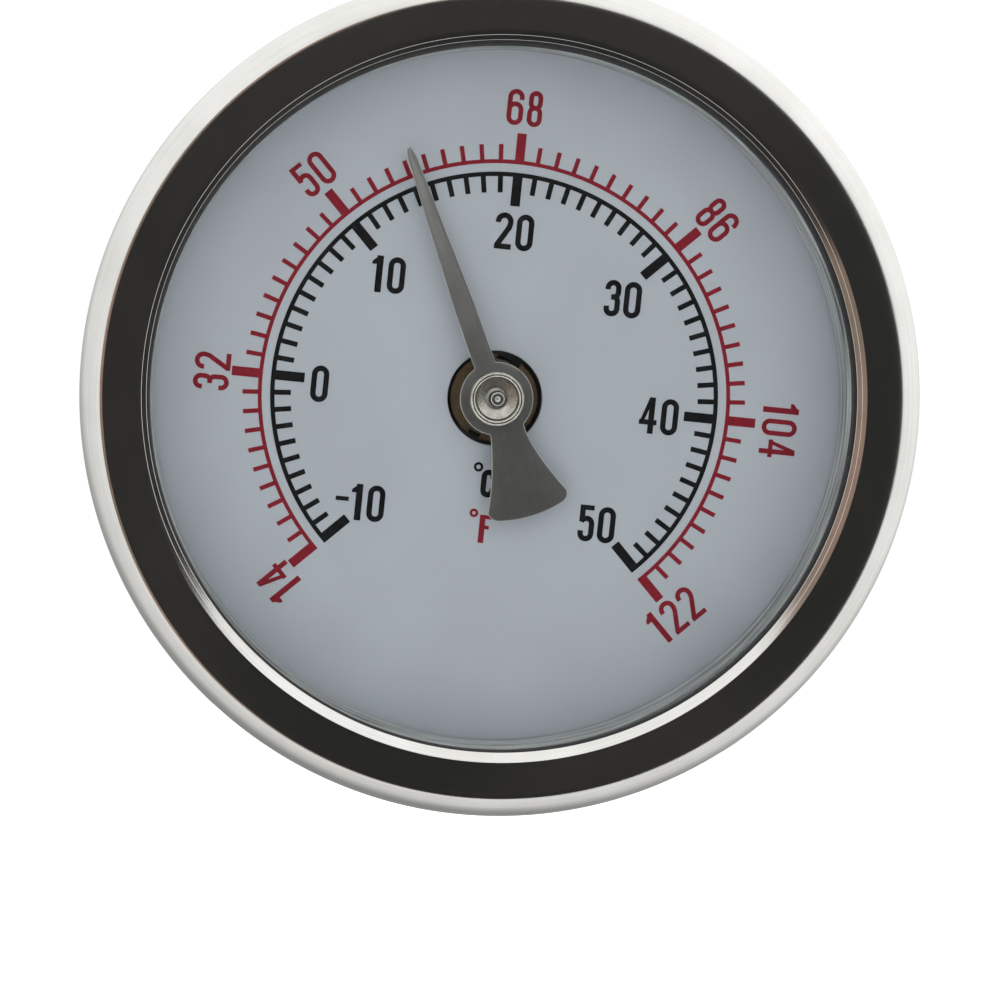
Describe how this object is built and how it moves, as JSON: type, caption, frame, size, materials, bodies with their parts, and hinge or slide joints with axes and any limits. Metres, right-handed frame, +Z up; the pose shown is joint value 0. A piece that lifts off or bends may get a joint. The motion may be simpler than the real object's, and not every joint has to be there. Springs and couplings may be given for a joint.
{
  "type": "bimetal dial thermometer",
  "caption": "Round dial thermometer with a back-entry threaded connector and probe stem: a bimetal coil in the stem turns a pointer over a Celsius and Fahrenheit scale.",
  "frame": {"origin": "on the stem's axis, in the plane of the flat shoulder behind the connector's hexagon", "axes": "+Y along the stem, away from the dial; the dial faces -Y; +Z is up on the dial (the middle of the scale); +X is to the right as the dial is read"},
  "size_m": [0.063, 0.0989, 0.063],
  "materials": {
    "polished_steel": "rolled stainless sheet, polished face and satin shoulder",
    "case_steel": "deep-drawn stainless sheet, satin",
    "stem_steel": "turned and drawn stainless steel",
    "zinc_steel": "zinc-plated steel nut",
    "spring_steel": "dark spring steel",
    "pointer_metal": "dark satin stamped sheet with bright cut edges",
    "bush_metal": "nickel-plated turned brass",
    "brass": "turned brass, slightly tarnished",
    "bimetal": "rolled bimetal strip, faint straw tint",
    "black_rubber": "black moulded rubber",
    "grey_fibre": "grey pressed-fibre washer",
    "spacer_plastic": "light grey moulded ring",
    "dial_paint": "bluish white enamel on sheet, with black and dark red print",
    "black_ink": "black screen print on the dial",
    "red_ink": "dark red screen print on the dial",
    "window_glass": "clear flat instrument glass with a faint green edge"
  },
  "bodies": {
    "housing": {"bezel_ring": "polished_steel", "lens_gasket": "black_rubber", "window_glass": "window_glass", "case_gasket": "black_rubber", "spacer_ring": "spacer_plastic", "dial_plate": "dial_paint", "case_shell": "case_steel", "process_connector": "stem_steel", "case_seal_washer": "grey_fibre", "lock_washer": "spring_steel", "connector_nut": "zinc_steel", "upper_guide_bush": "brass", "lower_guide_bush": "brass", "stem_tube": "stem_steel", "stem_tip_plug": "stem_steel", "helix_anchor": "brass", "bimetal_helix": "bimetal"},
    "movement": {"pointer": "pointer_metal", "pointer_bush": "bush_metal", "pointer_shaft": "stem_steel", "shaft_collar": "brass", "helix_collar": "brass"}
  },
  "joints": [
    {"name": "pointer_turn", "type": "hinge", "parent": "housing", "child": "movement", "pos_m": [0, 0, 0], "axis": [0, 1, 0], "range_deg": [-109.8, 160.2], "stiffness_Nm_per_rad": 0.00025, "deforming": ["bimetal_helix"]}
  ]
}
